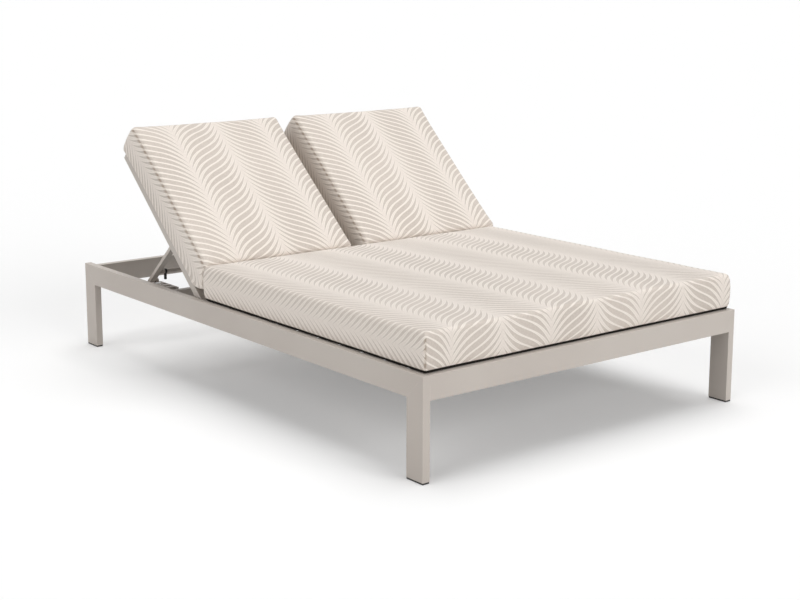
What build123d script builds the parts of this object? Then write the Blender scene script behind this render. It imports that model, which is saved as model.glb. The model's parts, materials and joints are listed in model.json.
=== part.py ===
from build123d import *
import math
import os

# A double chaise lounger in millimetres: X runs across it, Y from the foot end to the head end,
# Z up. The origin is on the floor, under the middle of the frame. Every piece is drawn where it
# lies with both backs raised to their lowest notch.

# Overall size of the frame.
LENGTH = 2083.0
WIDTH = 1372.0
FRAME_TOP = 324.0

# Frame tube: rails and legs share one flat oblong tube, mitred at the corners of each side.
RAIL_HEIGHT = 76.0
RAIL_WIDTH = 26.5
LEG_DEPTH = 76.0
FRAME_WALL = 2.0
TUBE_EDGE = 1.6
HEAD_RAIL_DROP = 10.0

# Glides that plug the lower end of each leg.
GLIDE_HEIGHT = 6.0
GLIDE_INSET = 1.0
GLIDE_PLUG = 18.0
GLIDE_FIT = 0.2

# Deck under the seat cushion.
DECK_DROP = 2.0
SLAT_THICKNESS = 16.0
SLAT_WIDTH = 60.0
SLAT_WALL = 1.6
SLAT_COUNT = 11
SLAT_END_GAP = 3.0
SLAT_MARGIN = 14.0
LEDGE_LEG = 20.0
LEDGE_THICKNESS = 2.5
SCREW_SHANK = 4.4
SCREW_HEAD = 8.6
SCREW_HEAD_HEIGHT = 2.6
BEAM_WIDTH = 26.0
BEAM_HEIGHT = 46.0
HEAD_BEAM_HEIGHT = 42.0

# Hinge line of the two backs, and the bars across the frame behind it.
HINGE_Y = 229.0
BACK_ANGLE = 42.2
BACK_RAISE = 14.3
HINGE_PIN = 12.0
HINGE_HEAD = 18.0
HINGE_HEAD_HEIGHT = 4.0
HINGE_SPACER = 20.0
BUSH_WALL = 2.0
RUNNING_CLEARANCE = 0.05
SIDE_PLAY = 0.3
CROSSBAR_WIDTH = 26.0
CROSSBAR_SETBACK = 26.0
CROSSBAR_CLEARANCE = 2.0
HINGE_BLOCK_DROP = 48.0
HINGE_SWING_CLEARANCE = 4.0

# Back frames: two side tubes, a mitred bow on top, a lower rail and flat slats.
BACK_TUBE_WIDTH = 25.0
BACK_TUBE_DEPTH = 28.0
BACK_TUBE_EDGE = 1.4
BACK_WALL = 1.8
BACK_END_GAP = 94.0
BACK_HEEL = 14.0
END_CAP = 2.5
BACK_SIDE_GAP = 4.5
BACK_GAP = 40.0
BOW_LEG = 120.0
LOWER_RAIL_START = 34.0
BACK_SLAT_WIDTH = 42.0
BACK_SLAT_THICKNESS = 5.0
BACK_SLAT_PITCH = 70.0
BACK_SLAT_MARGIN = 8.0

# Props that hold the backs up, and the notched racks that their feet stand on.
PROP_REACH = 279.0
ARM_WIDTH = 24.0
ARM_DEPTH = 12.0
ARM_GAP = 2.0
PROP_PIN = 7.0
PROP_HEAD = 12.0
PROP_HEAD_HEIGHT = 3.5
PROP_TUBE = 16.0
PROP_TUBE_WALL = 1.5
PROP_TUBE_RISE = 65.0
PROP_TUBE_OFFSET = 2.0
COLLAR = 19.0
COLLAR_OFFSET = 16.0
TAB_WIDTH = 8.0
TAB_THICKNESS = 7.0
TAB_REACH = 31.0
FOOT_COLLAR = 14.0
FOOT_COLLAR_LENGTH = 3.0
SLEEVE = 18.0
SLEEVE_LENGTH = 12.0
RACK_WIDTH = 38.0
RACK_HEIGHT = 39.5
RACK_WALL = 2.5
RACK_OVERRUN = 15.0
RACK_CLEARANCE = 0.5
NOTCH_DEPTH = 7.0
NOTCH_PLAY = 0.6
NOTCH_COUNT = 4
BRACKET_DEPTH = 24.0
BRACKET_HEIGHT = 18.0

# Tabs that carry the backs when they lie flat.
REST_FROM_TOP = 30.0
REST_DEPTH = 25.0
REST_THICKNESS = 6.0
REST_REACH = 27.5

# Cushions: a crowned form whose sides draw in a little between the corners.
SEAT_SIDE_INSET = 13.0
SEAT_FRONT_INSET = 13.0
SEAT_REAR_SETBACK = 41.0
SEAT_THICKNESS = 124.0
SEAT_CROWN = 7.0
SEAT_CORNER = 18.0
BACK_CUSHION_INSET = 5.0
BACK_CUSHION_INNER = 24.0
BACK_CUSHION_START = 50.0
BACK_CUSHION_OVERHANG = 19.0
BACK_CUSHION_THICKNESS = 136.0
BACK_CUSHION_CROWN = 7.0
BACK_CUSHION_CORNER = 36.0
CUSHION_ROUNDING = 24.0
CUSHION_DRAW_IN = 4.0
CUSHION_CLEARANCE = 2.0

# How a cushion's side is set in at each height: shares of the thickness and of the rounding.
SIDE_SHARES = (
    (0.0, 1.0),
    (0.05, 0.5),
    (0.15, 0.15),
    (0.35, 0.0),
    (0.70, 0.0),
    (0.88, 0.18),
    (0.96, 0.52),
    (1.0, 1.1),
)
# How the crown rises inside the edge: shares of the crown and of the cushion's half width.
CROWN_SHARES = (
    (0.5, 0.16),
    (0.85, 0.36),
    (1.0, 0.6),
)

# How far a cut runs past the faces that it goes through.
OVERRUN = 5.0

# Places worked out from the sizes above.
SIDE_X = WIDTH / 2
RAIL_INNER_X = SIDE_X - RAIL_WIDTH
END_Y = LENGTH / 2
RAIL_INNER_Y = END_Y - RAIL_WIDTH
RAIL_BOTTOM = FRAME_TOP - RAIL_HEIGHT
DECK_TOP = FRAME_TOP - DECK_DROP
SLAT_BOTTOM = DECK_TOP - SLAT_THICKNESS
HINGE_Z = FRAME_TOP - BACK_TUBE_DEPTH / 2
BACK_HALF_DEPTH = BACK_TUBE_DEPTH / 2
BACK_OUTER_X = RAIL_INNER_X - BACK_SIDE_GAP
BACK_INNER_X = BACK_GAP / 2
BACK_REACH = RAIL_INNER_Y - BACK_END_GAP - HINGE_Y
BACK_CUSHION_END = BACK_REACH + BACK_CUSHION_OVERHANG
CROSSBAR_FRONT = HINGE_Y + CROSSBAR_SETBACK
CROSSBAR_REAR = CROSSBAR_FRONT + CROSSBAR_WIDTH
CROSSBAR_TOP = HINGE_Z - BACK_HALF_DEPTH - CROSSBAR_CLEARANCE
DECK_REAR = HINGE_Y - math.hypot(BACK_HEEL, BACK_HALF_DEPTH) - HINGE_SWING_CLEARANCE
BLOCK_FRONT = HINGE_Y - BACK_HALF_DEPTH
HEAD_BEAM_TOP = RAIL_BOTTOM + HEAD_BEAM_HEIGHT
BLOCK_HALF_WIDTH = BEAM_WIDTH / 2
PIN_RADIUS = HINGE_PIN / 2
BUSH_BORE = PIN_RADIUS + RUNNING_CLEARANCE
BUSH_RADIUS = BUSH_BORE + BUSH_WALL
ARM_OUTER_X = BACK_OUTER_X - BACK_TUBE_WIDTH - ARM_GAP
ARM_INNER_X = BACK_INNER_X + BACK_TUBE_WIDTH + ARM_GAP
FOOT_Y = HINGE_Y + 2 * PROP_REACH * math.cos(math.radians(BACK_ANGLE))
LAST_FOOT_Y = HINGE_Y + 2 * PROP_REACH * math.cos(math.radians(BACK_ANGLE + BACK_RAISE))
RACK_BAR_REAR = LAST_FOOT_Y - SLEEVE / 2
RACK_BAR_FRONT = RACK_BAR_REAR - CROSSBAR_WIDTH
RACK_TOP = HINGE_Z - SLEEVE / 2 - RACK_CLEARANCE
RACK_BOTTOM = RACK_TOP - RACK_HEIGHT
RACK_END = FOOT_Y + RACK_OVERRUN
OUTER_RACK_X = ARM_OUTER_X - ARM_WIDTH
INNER_RACK_X = ARM_INNER_X + ARM_WIDTH
SEAT_REAR = HINGE_Y - SEAT_REAR_SETBACK


def block(x, y, z):
    """A box between the low and high values of each pair."""
    size = [abs(pair[1] - pair[0]) for pair in (x, y, z)]
    middle = [(pair[0] + pair[1]) / 2 for pair in (x, y, z)]
    return Pos(*middle) * Box(*size)


def tube(x, y, z, axis, wall, edge):
    """A box tube along one axis, open at both ends, with its long edges rounded."""
    shell = block(x, y, z)
    shell = fillet(shell.edges().filter_by(axis), edge)
    pairs = []
    for pair, direction in zip((x, y, z), (Axis.X, Axis.Y, Axis.Z)):
        grow = OVERRUN if direction == axis else -wall
        pairs.append((min(pair) - grow, max(pair) + grow))
    return shell - block(*pairs)


def rod(x, y, z, radius):
    """A round rod along X between the two values of x, centred on y and z."""
    length = abs(x[1] - x[0])
    return Pos((x[0] + x[1]) / 2, y, z) * Rot(0, 90, 0) * Cylinder(radius, length)


def side_plate(points, x):
    """A plate between the two values of x, whose outline is given as Y and Z pairs."""
    outline = Plane.YZ * make_face(Polyline(*points, close=True))
    return Pos(min(x), 0, 0) * extrude(outline, amount=abs(x[1] - x[0]))


def flat_plate(points, z):
    """A plate between the two values of z, whose outline is given as X and Y pairs."""
    outline = make_face(Polyline(*points, close=True))
    return Pos(0, 0, min(z)) * extrude(outline, amount=abs(z[1] - z[0]))


def on_back(piece):
    """Takes a piece drawn with its back lying along +Y from the hinge, to the raised back."""
    return Pos(0, HINGE_Y, HINGE_Z) * Rot(BACK_ANGLE, 0, 0) * piece


def on_prop(piece):
    """Takes a piece drawn with its prop lying along +Y from its pivot, to the standing prop."""
    return on_back(Pos(0, PROP_REACH, 0) * Rot(-2 * BACK_ANGLE, 0, 0) * piece)


def mirrored(piece):
    return mirror(piece, about=Plane.YZ)


def solids_of(pieces):
    return Compound(children=[solid for piece in pieces for solid in piece.solids()])


def save(name, piece):
    export_step(piece, f"parts/{name}.step")


def save_pair(name, piece):
    """Saves a piece of the left half, and its mirror image on the right."""
    save(f"left_{name}", piece)
    save(f"right_{name}", mirrored(piece))


# The welded frame.

def mitre_run(drop):
    """How far the mitre between a leg and its rail has come in from the end, at a drop."""
    return drop * LEG_DEPTH / RAIL_HEIGHT


def rail_outline(wall):
    high = FRAME_TOP - wall
    low = RAIL_BOTTOM + wall
    high_y = END_Y - mitre_run(FRAME_TOP - high)
    low_y = END_Y - mitre_run(FRAME_TOP - low)
    return ((-high_y, high), (high_y, high), (low_y, low), (-low_y, low))


def leg_outline(wall):
    outer = -END_Y + wall
    inner = -END_Y + LEG_DEPTH - wall
    outer_top = FRAME_TOP - (outer + END_Y) * RAIL_HEIGHT / LEG_DEPTH
    inner_top = FRAME_TOP - (inner + END_Y) * RAIL_HEIGHT / LEG_DEPTH
    return ((outer, GLIDE_HEIGHT), (inner, GLIDE_HEIGHT), (inner, inner_top), (outer, outer_top))


def left_side_rail():
    shell = side_plate(rail_outline(0), (-SIDE_X, -RAIL_INNER_X))
    shell = fillet(shell.edges().filter_by(Axis.Y), TUBE_EDGE)
    return shell - side_plate(rail_outline(FRAME_WALL), (FRAME_WALL - SIDE_X, -RAIL_INNER_X - FRAME_WALL))


def left_foot_leg():
    shell = side_plate(leg_outline(0), (-SIDE_X, -RAIL_INNER_X))
    shell = fillet(shell.edges().filter_by(Axis.Z).group_by(Axis.X)[0], TUBE_EDGE)
    return shell - side_plate(leg_outline(FRAME_WALL), (FRAME_WALL - SIDE_X, -RAIL_INNER_X - FRAME_WALL))


def cross_rail(y, drop):
    across = (-RAIL_INNER_X, RAIL_INNER_X)
    height = (RAIL_BOTTOM - drop, FRAME_TOP - drop)
    return tube(across, y, height, Axis.X, FRAME_WALL, TUBE_EDGE)


def leg_glides():
    """A foot plate under each leg, with a plug that fills the end of the tube."""
    reach = FRAME_WALL + GLIDE_FIT
    x = (-SIDE_X, -RAIL_INNER_X)
    y = (-END_Y, LEG_DEPTH - END_Y)
    plate = block(
        (x[0] + GLIDE_INSET, x[1] - GLIDE_INSET),
        (y[0] + GLIDE_INSET, y[1] - GLIDE_INSET),
        (0, GLIDE_HEIGHT),
    )
    plate = chamfer(plate.edges().group_by(Axis.Z)[0], GLIDE_INSET)
    plug = block(
        (x[0] + reach, x[1] - reach),
        (y[0] + reach, y[1] - reach),
        (GLIDE_HEIGHT, GLIDE_HEIGHT + GLIDE_PLUG),
    )
    glide = plate + plug
    head_glide = mirror(glide, about=Plane.XZ)
    return solids_of([glide, head_glide, mirrored(glide), mirrored(head_glide)])


# The deck that carries the seat cushion.

def slat_centres():
    first = -RAIL_INNER_Y + SLAT_MARGIN + SLAT_WIDTH / 2
    last = DECK_REAR - SLAT_WIDTH / 2
    step = (last - first) / (SLAT_COUNT - 1)
    return [first + index * step for index in range(SLAT_COUNT)]


def screw_places():
    side = RAIL_INNER_X - LEDGE_LEG / 2
    return [(x, y) for x in (-side, side) for y in slat_centres()]


def screw_holes():
    height = (SLAT_BOTTOM - LEDGE_THICKNESS - OVERRUN, SLAT_BOTTOM + SLAT_WALL + OVERRUN)
    hole = Cylinder(SCREW_SHANK / 2, height[1] - height[0])
    return [Pos(x, y, (height[0] + height[1]) / 2) * hole for x, y in screw_places()]


def slat_screws():
    """Short screws that come up through the ledge into each end of each slat."""
    shank_length = LEDGE_THICKNESS + SLAT_WALL
    seat = SLAT_BOTTOM - LEDGE_THICKNESS
    shank = Pos(0, 0, seat + shank_length / 2) * Cylinder(SCREW_SHANK / 2, shank_length)
    head = Pos(0, 0, seat - SCREW_HEAD_HEIGHT / 2) * Cylinder(SCREW_HEAD / 2, SCREW_HEAD_HEIGHT)
    screw = shank + head
    return solids_of([Pos(x, y, 0) * screw for x, y in screw_places()])


def seat_slats():
    across = (SLAT_END_GAP - RAIL_INNER_X, RAIL_INNER_X - SLAT_END_GAP)
    height = (SLAT_BOTTOM, DECK_TOP)
    slats = []
    for centre in slat_centres():
        along = (centre - SLAT_WIDTH / 2, centre + SLAT_WIDTH / 2)
        slats.append(tube(across, along, height, Axis.X, SLAT_WALL, SLAT_WALL))
    return solids_of([slat - screw_holes() for slat in slats])


def slat_ledges():
    """An angle along the inside of each side rail."""
    along = (-RAIL_INNER_Y, DECK_REAR)
    shelf = block(
        (-RAIL_INNER_X, LEDGE_LEG - RAIL_INNER_X),
        along,
        (SLAT_BOTTOM - LEDGE_THICKNESS, SLAT_BOTTOM),
    )
    web = block(
        (-RAIL_INNER_X, LEDGE_THICKNESS - RAIL_INNER_X),
        along,
        (SLAT_BOTTOM - LEDGE_LEG, SLAT_BOTTOM),
    )
    ledge = shelf + web - screw_holes()
    return solids_of([ledge, mirrored(ledge)])


def centre_beam():
    x = (-BEAM_WIDTH / 2, BEAM_WIDTH / 2)
    z = (SLAT_BOTTOM - BEAM_HEIGHT, SLAT_BOTTOM)
    return tube(x, (-RAIL_INNER_Y, BLOCK_FRONT), z, Axis.Y, FRAME_WALL, TUBE_EDGE)


def head_beam():
    """The beam's two runs, in front of the racks' crossbar and behind it."""
    x = (-BEAM_WIDTH / 2, BEAM_WIDTH / 2)
    z = (RAIL_BOTTOM, HEAD_BEAM_TOP)
    runs = ((CROSSBAR_REAR, RACK_BAR_FRONT), (RACK_BAR_REAR, RAIL_INNER_Y))
    return solids_of([tube(x, run, z, Axis.Y, FRAME_WALL, TUBE_EDGE) for run in runs])


# The hinge line.

def crossbar(y):
    x = (-RAIL_INNER_X, RAIL_INNER_X)
    return tube(x, y, (RAIL_BOTTOM, CROSSBAR_TOP), Axis.X, FRAME_WALL, TUBE_EDGE)


def centre_hinge_block():
    """The block between the two backs that carries their shared bolt."""
    y = (BLOCK_FRONT, CROSSBAR_FRONT)
    z = (HINGE_Z - HINGE_BLOCK_DROP, DECK_TOP)
    body = block((-BLOCK_HALF_WIDTH, BLOCK_HALF_WIDTH), y, z)
    body = fillet(body.edges().filter_by(Axis.X).group_by(Axis.Z)[-1], HINGE_SWING_CLEARANCE)
    return body - rod((-BEAM_WIDTH, BEAM_WIDTH), HINGE_Y, HINGE_Z, PIN_RADIUS)


def hinge_pins():
    """A bolt through the centre block that carries both backs, and a headed stud welded to the
    inside of each side rail."""
    reach = BACK_INNER_X + BACK_TUBE_WIDTH + SIDE_PLAY
    shank = rod((-reach, reach), HINGE_Y, HINGE_Z, PIN_RADIUS)
    head = rod((reach, reach + HINGE_HEAD_HEIGHT), HINGE_Y, HINGE_Z, HINGE_HEAD / 2)
    bolt = shank + head + mirrored(head)
    side_reach = BACK_OUTER_X - BACK_TUBE_WIDTH - SIDE_PLAY
    stud = rod((-RAIL_INNER_X, -side_reach), HINGE_Y, HINGE_Z, PIN_RADIUS)
    stud += rod((-side_reach, HINGE_HEAD_HEIGHT - side_reach), HINGE_Y, HINGE_Z, HINGE_HEAD / 2)
    return solids_of([bolt, stud, mirrored(stud)])


def hinge_spacers():
    """Rings that keep each back off the side rails and off the centre block."""
    spacers = []
    for x in (
        (-RAIL_INNER_X, -BACK_OUTER_X - SIDE_PLAY),
        (SIDE_PLAY - BACK_INNER_X, -BLOCK_HALF_WIDTH),
    ):
        ring = rod(x, HINGE_Y, HINGE_Z, HINGE_SPACER / 2) - rod(x, HINGE_Y, HINGE_Z, PIN_RADIUS)
        spacers += [ring, mirrored(ring)]
    return solids_of(spacers)


# The racks and the rests.

def foot_place(angle):
    """Where the prop's foot stands along Y with the back raised to an angle in degrees."""
    return HINGE_Y + 2 * PROP_REACH * math.cos(math.radians(angle))


def rack(x):
    """A box tube, with round pockets sunk in its top that the prop's foot drops into."""
    bar = tube(x, (RACK_BAR_REAR, RACK_END), (RACK_BOTTOM, RACK_TOP), Axis.Y, RACK_WALL, TUBE_EDGE)
    radius = SLEEVE / 2 + NOTCH_PLAY
    across = (min(x) + RACK_WALL, max(x) - RACK_WALL)
    for index in range(NOTCH_COUNT):
        angle = BACK_ANGLE + BACK_RAISE * index / (NOTCH_COUNT - 1)
        bar -= rod(across, foot_place(angle), RACK_TOP - NOTCH_DEPTH + radius, radius)
    return bar


def rack_brackets():
    """Short bars that carry the far end of each rack."""
    y = (RACK_END - BRACKET_DEPTH, RACK_END)
    z = (RACK_BOTTOM, RACK_BOTTOM + BRACKET_HEIGHT)
    outer = block((-RAIL_INNER_X, -OUTER_RACK_X), y, z)
    inner = block((-INNER_RACK_X, -BEAM_WIDTH / 2), y, z)
    return solids_of([outer, inner, mirrored(outer), mirrored(inner)])


def back_rests():
    """Tabs on the side rails and a plate on the head beam, under the backs when they lie flat."""
    end = HINGE_Y + BACK_REACH - REST_FROM_TOP
    y = (end - REST_DEPTH, end)
    top = HINGE_Z - BACK_HALF_DEPTH - SIDE_PLAY
    tab = block((-RAIL_INNER_X, REST_REACH - RAIL_INNER_X), y, (top - REST_THICKNESS, top))
    reach = BACK_INNER_X + BACK_TUBE_WIDTH
    plate = block((-reach, reach), y, (HEAD_BEAM_TOP, top))
    return solids_of([tab, mirrored(tab), plate])


# A back frame, drawn lying along +Y from its hinge.

BOW_START = BACK_REACH - BOW_LEG
OUTER_TUBE_X = (-BACK_OUTER_X, BACK_TUBE_WIDTH - BACK_OUTER_X)
INNER_TUBE_X = (-BACK_INNER_X - BACK_TUBE_WIDTH, -BACK_INNER_X)
BETWEEN_TUBES_X = (OUTER_TUBE_X[1], INNER_TUBE_X[0])
BACK_DEPTH = (-BACK_HALF_DEPTH, BACK_HALF_DEPTH)


def back_side_tube(x):
    along = (END_CAP - BACK_HEEL, BOW_START)
    body = tube(x, along, BACK_DEPTH, Axis.Y, BACK_WALL, BACK_TUBE_EDGE)
    return body - rod((x[0] - OVERRUN, x[1] + OVERRUN), 0, 0, BUSH_RADIUS)


def back_bushes():
    bushes = []
    for x in (OUTER_TUBE_X, INNER_TUBE_X):
        bushes.append(rod(x, 0, 0, BUSH_RADIUS) - rod(x, 0, 0, BUSH_BORE))
    return solids_of(bushes)


def back_end_caps():
    """A thin cap on the lower end of each side tube."""
    caps = []
    for x in (OUTER_TUBE_X, INNER_TUBE_X):
        cap = block(x, (-BACK_HEEL, END_CAP - BACK_HEEL), BACK_DEPTH)
        caps.append(fillet(cap.edges().filter_by(Axis.Y), BACK_TUBE_EDGE))
    return solids_of(caps)


def bow_outline(wall):
    """The top rail's outline, mitred at both ends, set in by a wall on its long sides."""
    high = BACK_REACH - wall
    low = BACK_REACH - BACK_TUBE_WIDTH + wall
    left = OUTER_TUBE_X[0]
    right = INNER_TUBE_X[1]
    high_run = BACK_REACH - high
    low_run = BACK_REACH - low
    return (
        (left + high_run, high),
        (right - high_run, high),
        (right - low_run, low),
        (left + low_run, low),
    )


def back_top_rail():
    shell = flat_plate(bow_outline(0), BACK_DEPTH)
    shell = fillet(shell.edges().filter_by(Axis.X), BACK_TUBE_EDGE)
    hollow = (BACK_WALL - BACK_HALF_DEPTH, BACK_HALF_DEPTH - BACK_WALL)
    return shell - flat_plate(bow_outline(BACK_WALL), hollow)


def bow_leg_outline(outer, inner, wall):
    """A bow leg's outline: outer is its face away from the back's middle, inner the other."""
    step = wall if inner > outer else -wall
    far = outer + step
    near = inner - step
    far_top = BACK_REACH - abs(far - outer)
    near_top = BACK_REACH - abs(near - outer)
    return ((far, BOW_START), (near, BOW_START), (near, near_top), (far, far_top))


def back_bow_leg(outer, inner):
    shell = flat_plate(bow_leg_outline(outer, inner, 0), BACK_DEPTH)
    shell = fillet(shell.edges().filter_by(Axis.Y), BACK_TUBE_EDGE)
    hollow = (BACK_WALL - BACK_HALF_DEPTH, BACK_HALF_DEPTH - BACK_WALL)
    return shell - flat_plate(bow_leg_outline(outer, inner, BACK_WALL), hollow)


def back_lower_rail():
    along = (LOWER_RAIL_START, LOWER_RAIL_START + BACK_TUBE_WIDTH)
    return tube(BETWEEN_TUBES_X, along, BACK_DEPTH, Axis.X, BACK_WALL, BACK_TUBE_EDGE)


def back_slats():
    """Flat slats flush with the front of the side tubes. A gap is left where the folded
    prop's feet lie."""
    first = LOWER_RAIL_START + BACK_TUBE_WIDTH + BACK_SLAT_MARGIN + BACK_SLAT_WIDTH / 2
    last = BACK_REACH - BACK_TUBE_WIDTH - BACK_SLAT_MARGIN - BACK_SLAT_WIDTH / 2
    folded_foot = 2 * PROP_REACH
    lowest = math.ceil((first - folded_foot) / BACK_SLAT_PITCH - 0.5)
    highest = math.floor((last - folded_foot) / BACK_SLAT_PITCH - 0.5)
    slats = []
    for index in range(lowest, highest + 1):
        centre = folded_foot + (index + 0.5) * BACK_SLAT_PITCH
        along = (centre - BACK_SLAT_WIDTH / 2, centre + BACK_SLAT_WIDTH / 2)
        deep = (BACK_HALF_DEPTH - BACK_SLAT_THICKNESS, BACK_HALF_DEPTH)
        slats.append(block(BETWEEN_TUBES_X, along, deep))
    return solids_of(slats)


def prop_studs():
    """Studs welded to the inner faces of the side tubes, that the prop's arms turn on."""
    studs = []
    reach = ARM_GAP + ARM_WIDTH + SIDE_PLAY
    for face, way in ((OUTER_TUBE_X[1], 1), (INNER_TUBE_X[0], -1)):
        shank = rod((face, face + way * reach), PROP_REACH, 0, PROP_PIN / 2)
        head_end = reach + PROP_HEAD_HEIGHT
        head = rod((face + way * reach, face + way * head_end), PROP_REACH, 0, PROP_HEAD / 2)
        studs.append(shank + head)
    return solids_of(studs)


# A prop, drawn lying along +Y from its pivot.

def prop_arm(x):
    """A flat bar with rounded ends, a bore for its stud and one for its foot pin."""
    ends = [rod(x, y, 0, ARM_DEPTH / 2) for y in (0, PROP_REACH)]
    arm = block(x, (0, PROP_REACH), (-ARM_DEPTH / 2, ARM_DEPTH / 2)) + ends
    across = (min(x) - OVERRUN, max(x) + OVERRUN)
    arm -= rod(across, 0, 0, PROP_PIN / 2 + RUNNING_CLEARANCE)
    return arm - rod(across, PROP_REACH, 0, PROP_PIN / 2)


OUTER_ARM_X = (-ARM_OUTER_X, ARM_WIDTH - ARM_OUTER_X)
INNER_ARM_X = (-ARM_INNER_X - ARM_WIDTH, -ARM_INNER_X)


def prop_cross_tube():
    """The tube between the two arms, a little above their feet and towards their lower side."""
    x = (OUTER_ARM_X[1], INNER_ARM_X[0])
    y = PROP_REACH - PROP_TUBE_RISE
    outside = rod(x, y, -PROP_TUBE_OFFSET, PROP_TUBE / 2)
    return outside - rod(x, y, -PROP_TUBE_OFFSET, PROP_TUBE / 2 - PROP_TUBE_WALL)


def prop_foot_pins():
    reach = FOOT_COLLAR_LENGTH + SLEEVE_LENGTH
    pins = []
    for x in (
        (OUTER_ARM_X[0], OUTER_ARM_X[1] + reach),
        (INNER_ARM_X[0] - reach, INNER_ARM_X[1]),
    ):
        pins.append(rod(x, PROP_REACH, 0, PROP_PIN / 2))
    return solids_of(pins)


def ring_on_prop(x, y, z, outer, bore):
    return rod(x, y, z, outer / 2) - rod(x, y, z, bore / 2)


def prop_foot_sleeves():
    """The rollers that drop into the notches."""
    sleeves = []
    for face, way in ((OUTER_ARM_X[1], 1), (INNER_ARM_X[0], -1)):
        near = face + way * FOOT_COLLAR_LENGTH
        x = (near, near + way * SLEEVE_LENGTH)
        sleeves.append(ring_on_prop(x, PROP_REACH, 0, SLEEVE, PROP_PIN))
    return solids_of(sleeves)


def prop_collars():
    """Dark collars on the foot pins and near the ends of the cross tube. Each of those on the
    tube has a tab that hangs straight down while the back stands in its lowest notch."""
    y = PROP_REACH - PROP_TUBE_RISE
    z = -PROP_TUBE_OFFSET
    collars = []
    for face, way in ((OUTER_ARM_X[1], 1), (INNER_ARM_X[0], -1)):
        foot_x = (face, face + way * FOOT_COLLAR_LENGTH)
        collars.append(ring_on_prop(foot_x, PROP_REACH, 0, FOOT_COLLAR, PROP_PIN))
        near = face + way * COLLAR_OFFSET
        tube_x = (near, near + way * TAB_WIDTH)
        tab = block(tube_x, (-TAB_THICKNESS / 2, TAB_THICKNESS / 2), (-TAB_REACH, 0))
        tab = Pos(0, y, z) * Rot(BACK_ANGLE, 0, 0) * tab
        collar = rod(tube_x, y, z, COLLAR / 2) + tab
        collars.append(collar - rod(tube_x, y, z, PROP_TUBE / 2))
    return solids_of(collars)


# The cushions.

def cushion_outline(x, y, corner):
    """An oblong with rounded corners, whose sides draw in a little between them."""
    left, right = x
    low, high = y
    middle_x = (left + right) / 2
    middle_y = (low + high) / 2
    round_in = corner * (1 - math.sqrt(0.5))
    edges = [
        ThreePointArc((left + corner, low), (middle_x, low + CUSHION_DRAW_IN), (right - corner, low)),
        ThreePointArc((right - corner, low), (right - round_in, low + round_in), (right, low + corner)),
        ThreePointArc((right, low + corner), (right - CUSHION_DRAW_IN, middle_y), (right, high - corner)),
        ThreePointArc((right, high - corner), (right - round_in, high - round_in), (right - corner, high)),
        ThreePointArc((right - corner, high), (middle_x, high - CUSHION_DRAW_IN), (left + corner, high)),
        ThreePointArc((left + corner, high), (left + round_in, high - round_in), (left, high - corner)),
        ThreePointArc((left, high - corner), (left + CUSHION_DRAW_IN, middle_y), (left, low + corner)),
        ThreePointArc((left, low + corner), (left + round_in, low + round_in), (left + corner, low)),
    ]
    return make_face(edges)


def cushion_levels(thickness, crown, half_width):
    """Height and set-in of each level of a cushion, from its underside to its crown."""
    levels = [(share * thickness, inset * CUSHION_ROUNDING) for share, inset in SIDE_SHARES]
    for rise, inset in CROWN_SHARES:
        levels.append((thickness + rise * crown, inset * half_width))
    return levels


def inset_at(levels, height):
    """The set-in at any height, in line between the levels."""
    for (low, low_inset), (high, high_inset) in zip(levels, levels[1:]):
        if low <= height <= high:
            return low_inset + (high_inset - low_inset) * (height - low) / (high - low)
    return levels[-1][1]


def seat_cushion():
    x = SIDE_X - SEAT_SIDE_INSET
    front = SEAT_FRONT_INSET - END_Y
    faces = []
    for height, inset in cushion_levels(SEAT_THICKNESS, SEAT_CROWN, x):
        outline = cushion_outline((inset - x, x - inset), (front + inset, SEAT_REAR - inset), SEAT_CORNER)
        faces.append(Pos(0, 0, DECK_TOP + height) * outline)
    return loft(faces, ruled=True)


def from_raised_back(y, z):
    """A point of the frame, as the back sees it when it is raised as far as it goes:
    the distance along the back from the hinge, and the height in front of it."""
    angle = math.radians(BACK_ANGLE + BACK_RAISE)
    dy = y - HINGE_Y
    dz = z - HINGE_Z
    return (
        dy * math.cos(angle) + dz * math.sin(angle),
        dz * math.cos(angle) - dy * math.sin(angle),
    )


def back_cushion():
    """The lower front of the cushion is cut back, so that the raised cushion stays clear of
    the seat cushion's rear edge."""
    x = (BACK_CUSHION_INSET - SIDE_X, -BACK_CUSHION_INNER)
    half_span = min(x[1] - x[0], BACK_CUSHION_END - BACK_CUSHION_START) / 2
    levels = cushion_levels(BACK_CUSHION_THICKNESS, BACK_CUSHION_CROWN, half_span)
    seat_top = DECK_TOP + SEAT_THICKNESS + SEAT_CROWN
    corner = from_raised_back(SEAT_REAR + CUSHION_CLEARANCE, seat_top + CUSHION_CLEARANCE)
    corner_height = corner[1] - BACK_HALF_DEPTH
    angle = math.radians(BACK_ANGLE + BACK_RAISE)
    cut_height = corner_height - (corner[0] - BACK_CUSHION_START) / math.tan(angle)
    heights = sorted([height for height, inset in levels] + [cut_height, corner_height])
    faces = []
    for height in heights:
        inset = inset_at(levels, height)
        start = BACK_CUSHION_START + inset
        if height > cut_height:
            share = min(1, (height - cut_height) / (corner_height - cut_height))
            start = max(start, BACK_CUSHION_START + share * (corner[0] - BACK_CUSHION_START))
        if height > BACK_CUSHION_THICKNESS:
            start = max(start, corner[0] + inset)
        outline = cushion_outline(
            (x[0] + inset, x[1] - inset),
            (start, BACK_CUSHION_END - inset),
            BACK_CUSHION_CORNER,
        )
        faces.append(Pos(0, 0, BACK_HALF_DEPTH + height) * outline)
    return loft(faces, ruled=True)


os.makedirs("parts", exist_ok=True)

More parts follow.
